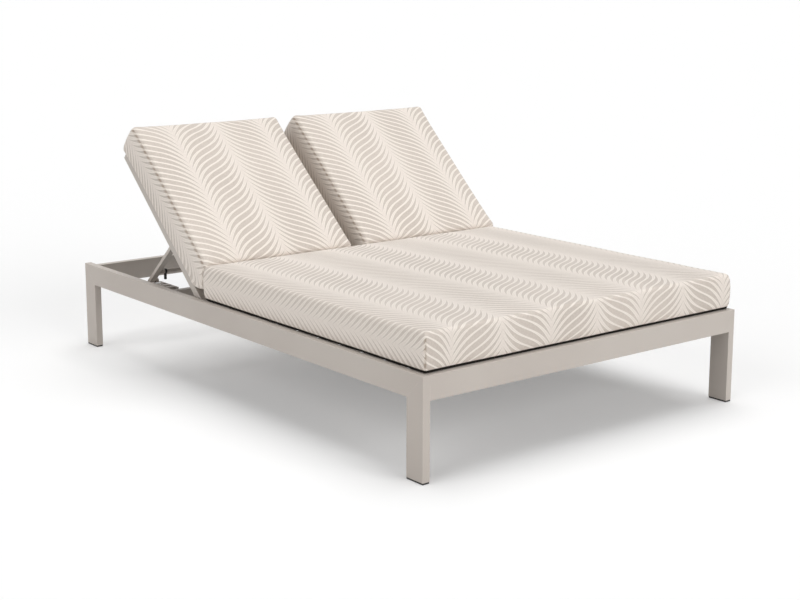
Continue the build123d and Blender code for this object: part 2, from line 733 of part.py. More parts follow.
save_pair("side_rail", left_side_rail())
foot_leg = left_foot_leg()
save_pair("foot_leg", foot_leg)
save_pair("head_leg", mirror(foot_leg, about=Plane.XZ))
save("foot_rail", cross_rail((-END_Y, -RAIL_INNER_Y), 0))
save("head_rail", cross_rail((RAIL_INNER_Y, END_Y), HEAD_RAIL_DROP))
save("leg_glides", leg_glides())

save("slat_ledges", slat_ledges())
save("centre_beam", centre_beam())
save("head_beam", head_beam())
save("seat_slats", seat_slats())
save("slat_screws", slat_screws())

save("hinge_crossbar", crossbar((CROSSBAR_FRONT, CROSSBAR_REAR)))
save("rack_crossbar", crossbar((RACK_BAR_FRONT, RACK_BAR_REAR)))
save("centre_hinge_block", centre_hinge_block())
save("hinge_pins", hinge_pins())
save("hinge_spacers", hinge_spacers())

save_pair("outer_rack", rack((-OUTER_RACK_X, RACK_WIDTH - OUTER_RACK_X)))
save_pair("inner_rack", rack((-INNER_RACK_X - RACK_WIDTH, -INNER_RACK_X)))
save("rack_brackets", rack_brackets())
save("back_rests", back_rests())
save("seat_cushion", seat_cushion())

save_pair("back_outer_tube", on_back(back_side_tube(OUTER_TUBE_X)))
save_pair("back_inner_tube", on_back(back_side_tube(INNER_TUBE_X)))
save_pair("back_top_rail", on_back(back_top_rail()))
save_pair("back_outer_bow_leg", on_back(back_bow_leg(OUTER_TUBE_X[0], OUTER_TUBE_X[1])))
save_pair("back_inner_bow_leg", on_back(back_bow_leg(INNER_TUBE_X[1], INNER_TUBE_X[0])))
save_pair("back_lower_rail", on_back(back_lower_rail()))
save_pair("back_slats", on_back(back_slats()))
save_pair("back_bushes", on_back(back_bushes()))
save_pair("back_end_caps", on_back(back_end_caps()))
save_pair("prop_studs", on_back(prop_studs()))
save_pair("back_cushion", on_back(back_cushion()))

save_pair("prop_outer_arm", on_prop(prop_arm(OUTER_ARM_X)))
save_pair("prop_inner_arm", on_prop(prop_arm(INNER_ARM_X)))
save_pair("prop_cross_tube", on_prop(prop_cross_tube()))
save_pair("prop_foot_pins", on_prop(prop_foot_pins()))
save_pair("prop_foot_sleeves", on_prop(prop_foot_sleeves()))
save_pair("prop_collars", on_prop(prop_collars()))
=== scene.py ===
# %% [markdown]
# # A double chaise lounger, dressed from its packed CAD frame
#
# The CAD model already has every tube, hinge and prop of the lounger in its real place, in metres.
# This lesson gives it what a photograph shows: a powder coat on the frame, three padded cushions in a
# wavy herringbone cloth, their seams and stitches, a plain floor and soft studio light.

import json
import math

import bpy
import numpy as np
from mathutils import Matrix, Vector, noise
from mathutils.bvhtree import BVHTree
from mathutils.geometry import barycentric_transform, intersect_point_tri_2d


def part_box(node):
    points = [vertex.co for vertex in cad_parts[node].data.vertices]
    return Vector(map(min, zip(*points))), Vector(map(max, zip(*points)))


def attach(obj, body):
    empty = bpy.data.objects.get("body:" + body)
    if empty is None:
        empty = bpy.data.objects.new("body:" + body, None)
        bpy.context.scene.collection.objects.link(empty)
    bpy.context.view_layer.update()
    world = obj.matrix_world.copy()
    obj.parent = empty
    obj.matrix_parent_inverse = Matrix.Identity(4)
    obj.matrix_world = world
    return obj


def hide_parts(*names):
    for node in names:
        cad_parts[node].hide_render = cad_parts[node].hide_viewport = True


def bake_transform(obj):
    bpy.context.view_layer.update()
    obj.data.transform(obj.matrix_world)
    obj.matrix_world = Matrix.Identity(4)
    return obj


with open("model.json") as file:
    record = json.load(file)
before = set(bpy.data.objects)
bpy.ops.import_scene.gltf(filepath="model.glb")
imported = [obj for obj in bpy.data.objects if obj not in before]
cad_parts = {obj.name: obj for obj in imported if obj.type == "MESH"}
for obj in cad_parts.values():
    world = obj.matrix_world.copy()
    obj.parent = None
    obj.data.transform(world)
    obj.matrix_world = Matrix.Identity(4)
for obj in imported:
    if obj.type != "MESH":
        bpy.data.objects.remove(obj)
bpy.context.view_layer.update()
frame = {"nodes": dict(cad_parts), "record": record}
nodes = frame["nodes"]

# %% [markdown]
# ## The camera
#
# The photograph was taken from the foot end, a little to the left and from about standing height.
# A long lens at a distance keeps the lines nearly parallel. The lens, the place and the three turns
# were fitted once to the corners of the frame and written here as numbers, which is steadier than
# turning the camera by eye.

# %% Set up the camera
LENS_MM = 66.83
SENSOR_MM = 36
CAMERA_PLACE = Vector((-3.2742, -4.1798, 1.4689))
YAW, PITCH, ROLL = (math.radians(turn) for turn in (38.575, -10.912, 0.146))
SHIFT_UP = -0.06


def camera_turn(yaw, pitch, roll):
    """The camera's turn, from its heading from +Y towards +X, its tilt and its roll."""
    ahead = Vector((
        math.sin(yaw) * math.cos(pitch),
        math.cos(yaw) * math.cos(pitch),
        math.sin(pitch),
    ))
    level = ahead.cross(Vector((0, 0, 1))).normalized()
    over = level.cross(ahead)
    right = level * math.cos(roll) + over * math.sin(roll)
    up = over * math.cos(roll) - level * math.sin(roll)
    return Matrix((right, up, -ahead)).transposed()


camera_data = bpy.data.cameras.new("studio_camera")
camera_data.lens = LENS_MM
camera_data.sensor_width = SENSOR_MM
camera_data.shift_y = SHIFT_UP
camera = bpy.data.objects.new("studio_camera", camera_data)
camera.matrix_world = Matrix.Translation(CAMERA_PLACE) @ camera_turn(YAW, PITCH, ROLL).to_4x4()
bpy.context.scene.collection.objects.link(camera)
bpy.context.scene.camera = camera
frame_middle = Vector((0, 0, 0.3))
print("camera", round((CAMERA_PLACE - frame_middle).length, 2), "m from the middle of the frame")

# %% [markdown]
# ## Writing shaders as sums
#
# A finish is easiest to read as a sum: where the stripe is, how wide it is, how dark it is. A small
# class wraps a socket of a node tree and gives it plus, minus, times and the rest, so that a line of
# Python adds the Math nodes behind it. The reflected forms let a sum start with a number, as in
# `1.0 - mask`.

# %% A class for sums on sockets
class Signal:
    """A socket with a value, which can be used in sums."""

    def __init__(self, tree, socket):
        self.tree = tree
        self.socket = socket

    def sum(self, operation, *values):
        settings = {"operation": operation}
        return self.tree.node("ShaderNodeMath", settings, *values)

    def __add__(self, other):
        return self.sum("ADD", self, other)

    def __radd__(self, other):
        return self.sum("ADD", other, self)

    def __sub__(self, other):
        return self.sum("SUBTRACT", self, other)

    def __rsub__(self, other):
        return self.sum("SUBTRACT", other, self)

    def __mul__(self, other):
        return self.sum("MULTIPLY", self, other)

    def __rmul__(self, other):
        return self.sum("MULTIPLY", other, self)

    def __truediv__(self, other):
        return self.sum("DIVIDE", self, other)

    def __rtruediv__(self, other):
        return self.sum("DIVIDE", other, self)

    def __abs__(self):
        return self.sum("ABSOLUTE", self)

    def __lt__(self, other):
        return self.sum("LESS_THAN", self, other)

    def __gt__(self, other):
        return self.sum("GREATER_THAN", self, other)


print("a sum may start with a number:", [name for name in vars(Signal) if name.startswith("__r")])

# %% [markdown]
# ## One method for every node
#
# Most of a node tree's text is the same three steps: add a node, choose its settings, fill its
# sockets. `Tree.node` takes them in that order, because a setting can change which sockets a node
# has. It serves materials, the world and the stitches' Geometry Nodes alike.

# %% A tree that grows by one method
class Tree:
    """A node tree of any kind, which grows by one method."""

    def __init__(self, tree):
        self.tree = tree

    def node(self, kind, settings=None, *values, output=0, **named):
        """Adds a node: its settings first, then the values or links of its sockets, by place or
        by name. Gives back one of its outputs, by place or by name."""
        made = self.tree.nodes.new(kind)
        for key, value in (settings or {}).items():
            setattr(made, key, value)
        for key, value in list(enumerate(values)) + list(named.items()):
            self.put(socket_of(made.inputs, key), value)
        if made.outputs:
            return Signal(self, socket_of(made.outputs, output))

    def put(self, socket, value):
        if isinstance(value, Signal):
            self.tree.links.new(value.socket, socket)
        else:
            socket.default_value = value


def socket_of(sockets, key):
    """A node's socket by its place, its identifier or its name, with _ for each space."""
    if isinstance(key, int):
        return sockets[key]
    by_identifier = {socket.identifier: socket for socket in sockets}
    return by_identifier.get(key) or sockets[key.replace("_", " ")]


print("a tree has", [name for name in vars(Tree) if name[0] != "_"])

# %% [markdown]
# ## A finish
#
# A finish is a material whose one Principled shader is fed by sums. A value that is the same all
# over a surface is set on the shader's own socket when the finish is made. The helpers are those
# that every finish here needs: a mix of two colours, a smooth step, a grain and a bump.

# %% A material with helpers
class Finish(Tree):
    """A material with one Principled shader."""

    def __init__(self, name, **plain):
        self.material = bpy.data.materials.new(name)
        self.material.use_nodes = True
        super().__init__(self.material.node_tree)
        self.shader = self.tree.nodes["Principled BSDF"]
        for socket, value in plain.items():
            self.feed(socket, value)

    def feed(self, name, value):
        self.put(socket_of(self.shader.inputs, name), value)

    def mix(self, share, first, second):
        """A colour between two colours."""
        settings = {"data_type": "RGBA", "clamp_factor": True}
        ends = {"A_Color": first, "B_Color": second}
        return self.node("ShaderNodeMix", settings, output="Result_Color", Factor_Float=share, **ends)

    def step(self, value, low, high):
        """A smooth step, from 0 at low to 1 at high."""
        settings = {"interpolation_type": "SMOOTHSTEP"}
        return self.node("ShaderNodeMapRange", settings, value, low, high, 0.0, 1.0)

    def grain(self, scale, detail=2.0, rough=0.5):
        """Noise on the piece's own coordinates, from 0 to 1."""
        where = self.node("ShaderNodeTexCoord", output="Object")
        look = {"Scale": scale, "Detail": detail, "Roughness": rough}
        return self.node("ShaderNodeTexNoise", Vector=where, **look)

    def bump(self, height, depth, strength=1.0):
        """Turns the normal as if the surface rose by depth where height is 1."""
        risen = self.node("ShaderNodeBump", Strength=strength, Distance=depth, Height=height)
        self.feed("Normal", risen)


print("a finish has", [name for name in vars(Finish) if name[0] != "_"])

# %% [markdown]
# ## Colours as they are seen
#
# A colour that is read off a screen is a number from 0 to 255 on the screen's own curve. The shader
# wants the light itself, so each number is taken back through that curve.

# %% From screen colours to light
def tone(red, green, blue):
    """A colour as it is read off a screen, from 0 to 255, as the shader wants it."""
    shares = [value / 255 for value in (red, green, blue)]
    return tuple(s / 12.92 if s < 0.04045 else ((s + 0.055) / 1.055) ** 2.4 for s in shares) + (1.0,)


print("a mid grey of 128 is", round(tone(128, 128, 128)[0], 3), "to the shader")

# %% [markdown]
# ## The powder coat
#
# The frame is aluminium tube under a warm grey powder coat. Powder melts into a skin with a very
# fine orange peel, and its gloss is never quite even, so a small bump and a slow change of roughness
# say more than a strong colour pattern. A trace of dust darkens it unevenly. Hands, cushions and
# covers polish the edges, so these are a little smoother, and they are painted paler as a painted
# highlight along each edge. A Bevel node finds them: its rounded normal leaves the true one only
# near an edge.

# %% Powder coat
EDGE_REACH = 0.003


def powder_coat():
    coat = Finish("powder_coat", Metallic=0.0, IOR=1.5)
    slow = coat.grain(2.3, 3.0)
    speck = coat.grain(420.0, 1.0)
    peel = coat.grain(900.0, 1.0, 0.4)
    body = coat.mix(coat.step(slow, 0.3, 0.7), tone(188, 179, 171), tone(194, 186, 178))
    dusty = coat.mix(coat.step(speck, 0.62, 0.8) * 0.25, body, tone(168, 160, 151))
    round_normal = coat.node("ShaderNodeBevel", {"samples": 4}, Radius=EDGE_REACH)
    true_normal = coat.node("ShaderNodeNewGeometry", output="True_Normal")
    normals = (round_normal, true_normal)
    same = coat.node("ShaderNodeVectorMath", {"operation": "DOT_PRODUCT"}, *normals, output="Value")
    # Painted highlight: the edges are mixed towards a paler tone. Their lower roughness is wear.
    edge_wear_and_highlight = coat.step(1.0 - same, 0.02, 0.25) * coat.step(coat.grain(38.0, 3.0), 0.35, 0.6)
    coat.feed("Base Color", coat.mix(0.45 * edge_wear_and_highlight, dusty, tone(212, 205, 198)))
    coat.feed("Roughness", 0.42 + 0.12 * slow + 0.05 * speck - 0.1 * edge_wear_and_highlight)
    coat.bump(peel, 0.00008, 0.5)
    return coat.material


frame_coat = powder_coat()
print("the powder coat has", len(frame_coat.node_tree.nodes), "nodes")

# %% [markdown]
# ## Plastics
#
# The glides, caps and collars are black moulded plastic with a faint spark-eroded grain, and the
# bushes and spacers are a paler nylon. One function makes both: only the colour and the gloss differ.

# %% Moulded plastic
def moulded_plastic(name, colour, rough):
    plastic = Finish(name, IOR=1.46)
    fine = plastic.grain(700.0, 2.0, 0.6)
    slow = plastic.grain(14.0, 2.0)
    scuffed = plastic.step(slow, 0.2, 0.8) * 0.5
    plastic.feed("Base Color", plastic.mix(scuffed, colour, tone(58, 55, 52)))
    plastic.feed("Roughness", rough + 0.14 * fine)
    plastic.bump(fine, 0.00006, 0.7)
    return plastic.material


black_plastic = moulded_plastic("black_plastic", tone(34, 32, 31), 0.5)
grey_nylon = moulded_plastic("grey_nylon", tone(128, 123, 117), 0.42)
print("plastics:", black_plastic.name, "and", grey_nylon.name)

# %% [markdown]
# ## Turned steel
#
# A pin comes off a lathe with fine rings round its axis. The pins lie along X, so a sine of X draws
# the rings, and a soft noise dulls the steel in places.

# %% Turned steel
RINGS = 9000.0


def turned_steel():
    steel = Finish("turned_steel", Metallic=1.0)
    place = steel.node("ShaderNodeTexCoord", output="Object")
    along = steel.node("ShaderNodeSeparateXYZ", None, place, output="X")
    rings = steel.node("ShaderNodeMath", {"operation": "SINE"}, along * RINGS)
    spots = steel.grain(60.0, 3.0)
    steel.feed("Base Color", steel.mix(spots, tone(186, 182, 176), tone(150, 146, 140)))
    steel.feed("Roughness", 0.28 + 0.18 * spots)
    steel.bump(rings, 0.00003, 0.4)
    return steel.material


pin_steel = turned_steel()
print("the steel has a ring every", round(2000 * math.pi / RINGS, 2), "mm")

# %% [markdown]
# ## Dressing the CAD pieces
#
# The packed record names a slot of material for each CAD piece, so one table from slot to finish
# dresses the whole frame. The cushions' slot isn't in it, because new pieces replace them below.

# %% Give each CAD piece its finish
finishes = {
    "frame_paint": frame_coat,
    "dark_plastic": black_plastic,
    "bush_plastic": grey_nylon,
    "pin_steel": pin_steel,
}
slot_of = {piece["node"]: piece["material_slot"] for piece in frame["record"]["subparts"]}
for name, piece in nodes.items():
    if slot_of[name] in finishes:
        piece.data.materials.clear()
        piece.data.materials.append(finishes[slot_of[name]])
print("finished", sum(slot in finishes for slot in slot_of.values()), "CAD pieces")

# %% [markdown]
# ## The herringbone's stripes
#
# The covers are an outdoor jacquard: cream, with bands about 200 mm wide that run down the lounger.
# In each band, taupe stripes swing from one edge to the other in a flat S. Neighbouring bands mirror
# each other, so the stripes meet in V and in Λ shapes. Such a wavy herringbone is a common
# traditional weave, and a formula draws it: the stripe's height is a sum of the way across the band.

# %% Stripes as a formula
BAND = 0.201
STRIPE_PITCH = 0.027
FLAT_SLOPE = 0.45
STEEP_SLOPE = 1.15
STRIPE_ENDS = 0.10
STRIPE_SWELL = 0.64


def stripes(cloth, across, along):
    """Masks of the taupe stripes and of the pale line beside each, which is a painted highlight."""
    # Where the point is in its band, from 0 at the foot of a V to 1 at the top of a Λ.
    share = cloth.node("ShaderNodeMath", {"operation": "PINGPONG"}, across, BAND) / BAND
    swing = 2.0 * share - 1.0
    rise = FLAT_SLOPE * share + STEEP_SLOPE * (swing * swing * swing + 1.0) / 6.0
    phase = cloth.node("ShaderNodeMath", {"operation": "FRACT"}, (along - BAND * rise) / STRIPE_PITCH)
    off = abs(phase - 0.5) * 2.0

    # A stripe is wide in the middle of its band and fades to a thread at both ends.
    width = STRIPE_ENDS + STRIPE_SWELL * (1.0 - swing * swing)
    ends = cloth.step(share, 0.0, 0.07) * cloth.step(share, 1.0, 0.93)
    stripe = cloth.step(off, width + 0.10, width - 0.06) * (0.35 + 0.65 * ends)
    # The pale line beside each stripe is a painted highlight.
    line = cloth.step(off, width - 0.02, width + 0.12)
    line = line * cloth.step(off, width + 0.4, width + 0.18) * ends
    return stripe, line


print("a stripe rises", round(1000 * BAND * (FLAT_SLOPE + STEEP_SLOPE / 3)), "mm across its band")

# %% [markdown]
# ## Seams in the cloth
#
# Where two panels are sewn together, the cloth dips into a soft groove. A seam is a straight line on
# the flat cloth, so a smooth step of the distance from that line draws it, and all the seams of a
# cover add up to one mask.

# %% The grooves of the seams
SEAM_REACH = 0.011
SEAM_CORE = 0.0008


def seam_groove(cloth, across, along, seams):
    """A mask of the seams. Each is a line on the cloth, as (axis, place, low, high): where a
    coordinate is at a place, while the other is between low and high."""
    groove = 0.0
    for axis, place, low, high in seams:
        value, other = (across, along) if axis == "across" else (along, across)
        inside = (other > low) * (other < high)
        groove = groove + cloth.step(abs(value - place), SEAM_REACH, SEAM_CORE) * inside
    return groove


print("a seam's groove is", round(2000 * SEAM_REACH), "mm wide")

# %% [markdown]
# ## The herringbone cloth
#
# The cloth has its own flat coordinates, in metres, in a UV map. They run over the edges of a
# cushion as the real cloth does, so no stripe breaks where the cushion turns. Both tones are mottled
# by a fine noise, as yarn that is spun of two colours is, and two crossed sines raise the threads.

# %% The cloth
THREADS = 4700.0
TAUPE = (tone(200, 189, 179), tone(207, 196, 186))
CREAM = (tone(235, 226, 217), tone(228, 218, 209))
HIGHLIGHT_LINE_TONE = tone(246, 239, 230)
SEAM_SHADE_TONE = tone(156, 140, 125)
CLOTH_MAP = "cloth"


def herringbone_cloth(name, seams):
    """The cloth of a cover, with its stripes, its seams and its weave."""
    cloth = Finish(name, IOR=1.4, Sheen_Weight=0.25, Sheen_Roughness=0.5, Specular_IOR_Level=0.25)
    flat = cloth.node("ShaderNodeUVMap", {"uv_map": CLOTH_MAP})
    across = cloth.node("ShaderNodeSeparateXYZ", None, flat, output="X")
    along = cloth.node("ShaderNodeSeparateXYZ", None, flat, output="Y")
    stripe, line = stripes(cloth, across, along)
    slow = cloth.grain(2.6, 2.0)
    mottle = cloth.grain(160.0, 2.0, 0.7)
    taupe = cloth.mix(cloth.step(slow, 0.35, 0.65), *TAUPE)
    ground = cloth.mix(cloth.step(mottle, 0.3, 0.7), *CREAM)
    heather = cloth.step(mottle, 0.32, 0.68)
    colour = cloth.mix(stripe * (0.74 + 0.26 * heather), ground, taupe)
    # A painted highlight: the pale line beside each stripe.
    colour = cloth.mix(line * 0.7, colour, HIGHLIGHT_LINE_TONE)

    # Painted shade darkens each seam's groove, more on a stripe, and where the cloth puckers between
    # stitches.
    groove = seam_groove(cloth, across, along, seams)
    pucker_shade = cloth.grain(55.0, 1.0)
    shade = 0.15 + 0.55 * stripe + 0.2 * cloth.step(pucker_shade, 0.4, 0.62)
    colour = cloth.mix(groove * shade, colour, SEAM_SHADE_TONE)
    cloth.feed("Base Color", colour)

    # The weave: warp and weft threads, and the stripes lie a little lower than the ground, as a
    # jacquard's do.
    warp = cloth.node("ShaderNodeMath", {"operation": "SINE"}, across * THREADS)
    weft = cloth.node("ShaderNodeMath", {"operation": "SINE"}, along * THREADS)
    height = 0.5 * warp * weft + 0.8 * mottle - 1.2 * stripe + 1.2 * line - 4.0 * groove
    cloth.bump(height, 0.0004, 0.45)
    cloth.feed("Roughness", 0.86 + 0.08 * mottle)
    return cloth.material


print("the cloth has a thread every", round(1000 * math.pi / THREADS, 2), "mm")

# %% [markdown]
# ## The base cloth
#
# Under each cushion is a plain near-black cloth. Where it turns up the sides, its dark paints the
# shade of the gap between the cushion and the frame. A cell pattern, small enough to read as knots,
# gives its coarse weave.

# %% Base cloth
def gap_shade_cloth_finish():
    """The cloth under each cushion: near black, with a coarse weave, and painted shade for the gap
    under the rim.
    """
    cloth = Finish("gap_shade_cloth", Specular_IOR_Level=0.2)
    where = cloth.node("ShaderNodeTexCoord", output="Object")
    weave = cloth.node("ShaderNodeTexVoronoi", Vector=where, Scale=620.0)
    slow = cloth.grain(9.0, 2.0)
    cloth.feed("Base Color", cloth.mix(slow, tone(24, 20, 18), tone(34, 29, 26)))
    cloth.feed("Roughness", 0.85 + 0.1 * slow)
    cloth.bump(weave, 0.0004, 0.6)
    return cloth.material


gap_shade_cloth = gap_shade_cloth_finish()
print("under each cushion lies", gap_shade_cloth.name)

# %% [markdown]
# ## A cushion's cover, built of panels
#
# A cushion is a foam block in a cover that is cut from flat panels. So the mesh starts as that
# block, a lattice of small squares. Only then is it rounded, crowned and blown up. This keeps the
# cloth's drawing true over every edge, which a remesh would lose. The squares are smaller near
# the edges, where the shape bends.

# %% Build a block of panels
EDGE_CROWDING = 0.09


class Block:
    """The surface of a lattice of small squares. Its points are kept as shares of its size."""

    def __init__(self, counts):
        self.counts = counts
        self.index = {}
        self.cells = []
        self.faces = []
        self.panels = []
        nx, ny, nz = counts
        sides = {
            "under": (2, 0), "top": (2, nz), "foot": (1, 0),
            "head": (1, ny), "left": (0, 0), "right": (0, nx),
        }
        for panel, (axis, level) in sides.items():
            self.add_panel(panel, axis, level)

    def corner(self, cell):
        if cell not in self.index:
            self.index[cell] = len(self.cells)
            self.cells.append(cell)
        return self.index[cell]

    def add_panel(self, panel, axis, level):
        first, second = [a for a in range(3) if a != axis]
        outward = (level > 0) ^ (axis == 1)
        for i in range(self.counts[first]):
            for j in range(self.counts[second]):
                ring = []
                for di, dj in ((0, 0), (1, 0), (1, 1), (0, 1)):
                    cell = [0, 0, 0]
                    cell[axis], cell[first], cell[second] = level, i + di, j + dj
                    ring.append(self.corner(tuple(cell)))
                self.faces.append(ring if outward else ring[::-1])
                self.panels.append(panel)

    def shares(self):
        even = np.array(self.cells, float) / np.array(self.counts, float)
        return even - EDGE_CROWDING * np.sin(2 * math.pi * even)


trial = Block((8, 8, 4))
print("a trial block has", len(trial.cells), "points and", len(trial.faces), "faces")

# %% [markdown]
# ## The cloth laid out flat
#
# The cloth's drawing needs flat coordinates. On the top panel they follow the place on the cushion.
# On a side they carry on from the top's edge by the way down, as cloth that falls over an edge does.

# %% Flat coordinates of the cloth
def cloth_coordinates(block, low, high, across_of, along_of):
    """Flat cloth coordinates of each corner of each face, in metres. The sides carry on from the
    top's edges, down to the underside."""
    points = low + block.shares() * (high - low)
    rows = []
    for ring, panel in zip(block.faces, block.panels):
        for corner in ring:
            x, y, z = points[corner]
            down = high[2] - z
            if panel == "left":
                x = low[0] - down
            elif panel == "right":
                x = high[0] + down
            elif panel == "foot":
                y = low[1] - down
            elif panel == "head":
                y = high[1] + down
            rows.append((across_of(x), along_of(y)))
    return np.array(rows)


trial_cloth = cloth_coordinates(trial, np.zeros(3), np.ones(3), lambda x: x, lambda y: y)
print("the cloth of a trial cube, 1 m wide, is", round(np.ptp(trial_cloth[:, 0]), 2), "m wide")

# %% [markdown]
# ## Rounding the block
#
# Every edge and corner of the block becomes part of an ellipse, tight in plan and softer at the
# upper edge. A square of cloth that wraps an edge keeps its place on the arc, so the drawing isn't
# pinched there. The sides draw in a little between the corners, and the top rises to a low crown.

# %% Round, crown and draw in
def rounded(block, low, high, radii, crown, draw_in, bulge):
    """The block's points with rounded edges. radii are those in plan, at the upper edge and at the
    lower edge. bulge is how far the sides stand out at half height."""
    in_plan, over, under = radii
    middle = (high + low) / 2
    half = (high - low) / 2
    raw = low + block.shares() * (high - low)
    tall = np.where(raw[:, 2] > middle[2], over, under)
    reach = np.column_stack([np.full(len(raw), in_plan), np.full(len(raw), in_plan), tall])
    core = np.clip(raw, low + reach, high - reach)
    away = (raw - core) / reach
    length = np.maximum(np.linalg.norm(away, axis=1), 1e-9)
    points = core + reach * away * (np.abs(away).max(axis=1) / length)[:, None]

    share = np.clip((points - middle) / half, -1, 1)
    stand_out = bulge * (1 - share[:, 2:] ** 2) - draw_in * (1 - share[:, 1::-1] ** 2)
    points[:, :2] += stand_out * share[:, :2] ** 3
    lift = (1 - np.abs(share[:, 0]) ** 3) * (1 - np.abs(share[:, 1]) ** 3)
    points[:, 2] += crown * lift * np.clip(share[:, 2], 0, 1)
    return points


soft_cube = rounded(trial, np.zeros(3), np.ones(3), (0.1, 0.1, 0.1), 0.01, 0.0, 0.0)
print("rounding takes a trial cube's corner in by", round(1000 * soft_cube[0].max()), "mm")

# %% [markdown] ## Blowing the cover up  A filled cover is a sheet under a little pressure, and that
# is what Blender's cloth solver does best. The block's cover is simulated for a few frames with
# pressure and no gravity, and each point may move only so far. The result replaces the mesh's
# points, so no simulation is left on the piece.

# %% Simulate a filled cover
FILL_FRAMES = 20
FILL = {
    "quality": 4,
    "mass": 0.4,
    "tension_stiffness": 25,
    "compression_stiffness": 25,
    "shear_stiffness": 8,
    "bending_stiffness": 1.5,
    "use_pressure": True,
    "uniform_pressure_force": 4.0,
}


def points_of(mesh, what="co"):
    """The mesh's points, or their normals, as rows of an array."""
    rows = np.empty(len(mesh.vertices) * 3)
    mesh.vertices.foreach_get(what, rows)
    return rows.reshape(-1, 3)


def blow_up(piece, most):
    """Simulates the cover under pressure, and moves each point by at most the given length."""
    solver = piece.modifiers.new("fill", "CLOTH")
    for key, value in FILL.items():
        setattr(solver.settings, key, value)
    solver.settings.effector_weights.gravity = 0
    solver.collision_settings.use_collision = False
    solver.collision_settings.use_self_collision = False
    solver.point_cache.frame_start = 1
    solver.point_cache.frame_end = FILL_FRAMES
    scene = bpy.context.scene
    for step in range(1, FILL_FRAMES + 1):
        scene.frame_set(step)
    filled = piece.evaluated_get(bpy.context.evaluated_depsgraph_get()).to_mesh()
    before = points_of(piece.data)
    move = points_of(filled) - before
    piece.modifiers.remove(solver)
    scene.frame_set(1)
    length = np.maximum(np.linalg.norm(move, axis=1), 1e-9)
    move *= (most * np.tanh(length / most) / length)[:, None]
    piece.data.vertices.foreach_set("co", (before + move).ravel())
    print(piece.name, "moved by at most", round(1000 * np.linalg.norm(move, axis=1).max(), 1), "mm")


print("a cover is filled over", FILL_FRAMES, "frames")

# %% [markdown]
# ## Cutting a cover
#
# The block becomes a mesh, with the flat cloth in a UV map and a material for each kind of cloth.
# The base cloth is chosen by panel and by row of squares, because a mesh keeps a material number
# for every face.

# %% Cut a cover
def cut_cover(name, block, low, high, radii, form, cloth, seams, dark_rows):
    """The cover of a cushion, before it is filled. form holds its crown, how far its sides draw in
    and how far they bulge. cloth holds the two functions that give the cloth's coordinates. The
    base cloth covers the underside and dark_rows rows of squares above it."""
    mesh = bpy.data.meshes.new(name)
    mesh.from_pydata(rounded(block, low, high, radii, *form).tolist(), [], block.faces)
    layer = mesh.uv_layers.new(name=CLOTH_MAP)
    layer.data.foreach_set("uv", cloth_coordinates(block, low, high, *cloth).ravel())
    mesh.materials.append(herringbone_cloth(name + "_cloth", seams))
    # The near-black base cloth is also painted shade for the gap under the cushion's rim.
    mesh.materials.append(gap_shade_cloth)
    lowest = [min(block.cells[corner][2] for corner in ring) for ring in block.faces]
    dark = [panel == "under" or row < dark_rows for row, panel in zip(lowest, block.panels)]
    mesh.polygons.foreach_set("material_index", [int(each) for each in dark])
    piece = bpy.data.objects.new(name, mesh)
    bpy.context.scene.collection.objects.link(piece)
    return piece


print("a cover is cut as", list(dict.fromkeys(trial.panels)))

# %% [markdown]
# ## Settling a filled cover
#
# A seam holds the cloth in, so the points beside it are pulled back along their normals. A cover is
# never perfectly even either, and a slow noise of about a millimetre gives it life. The underside
# lies flat on the slats, so no point may stay below it. At last one subdivision smooths the squares.

# %% Settle a cover
UNEVENNESS = 0.0012
LUMPS = 7.0
LUMPS_PLACE = Vector((3, 1, 7))


def plain_mesh(piece):
    """The mesh that a piece's modifiers make of it."""
    return bpy.data.meshes.new_from_object(piece.evaluated_get(bpy.context.evaluated_depsgraph_get()))


def settle(piece, pull, under, place):
    """Pulls the points of a filled cover in, each by its own length, keeps them above its
    underside and takes them to where the cushion lies."""
    mesh = piece.data
    points = points_of(mesh)
    uneven = np.array([noise.noise(Vector(p) * LUMPS + LUMPS_PLACE) for p in points])
    points = points - points_of(mesh, "normal") * (pull + UNEVENNESS * uneven)[:, None]
    points[:, 2] = np.maximum(points[:, 2], under)
    mesh.vertices.foreach_set("co", place(points).ravel())
    mesh.update()
    finer = piece.modifiers.new("finer", "SUBSURF")
    finer.levels = finer.render_levels = 1
    ready = plain_mesh(piece)
    ready.name = piece.name
    piece.modifiers.remove(finer)
    piece.data = ready
    ready.shade_smooth()


print("a cover is uneven by up to", 1000 * UNEVENNESS, "mm")

# %% [markdown]
# ## A whole cushion
#
# One function makes all three cushions, because they differ only in their sizes, their cloth and
# where they lie: it builds the block, cuts the cover, fills it and settles it.

# %% Make a cushion
def make_cushion(name, low, high, counts, radii, form, puff, cloth, seams, pinch, place, dark_rows=0):
    """A whole cushion. pinch tells how far a cell of the lattice is pulled in at a seam, and place
    takes the points to where the cushion lies."""
    low, high = np.array(low), np.array(high)
    block = Block(counts)
    piece = cut_cover(name, block, low, high, radii, form, cloth, seams, dark_rows)
    blow_up(piece, puff)
    pull = np.array([pinch(cell, counts) for cell in block.cells])
    settle(piece, pull, low[2], place)
    print(name, len(piece.data.polygons), "faces")
    return piece


print("the cushions to make are", [name for name in nodes if name.endswith("cushion")])

# %% [markdown]
# ## The thread
#
# A row of stitches holds each seam. The thread is taupe, of two strands that are twisted round each
# other, and a very fine noise is enough for the twist at this size.

# %% Thread
def thread_finish():
    """A taupe thread of two strands, twisted round each other."""
    thread = Finish("thread", Sheen_Weight=0.3, Specular_IOR_Level=0.3)
    tint = thread.grain(90.0, 2.0)
    twist = thread.grain(1400.0, 1.0)
    thread.feed("Base Color", thread.mix(tint, tone(172, 160, 147), tone(192, 181, 168)))
    thread.feed("Roughness", 0.7 + 0.2 * twist)
    thread.bump(twist, 0.0002, 0.6)
    return thread.material


thread = thread_finish()
print("the seams are sewn with", thread.name)

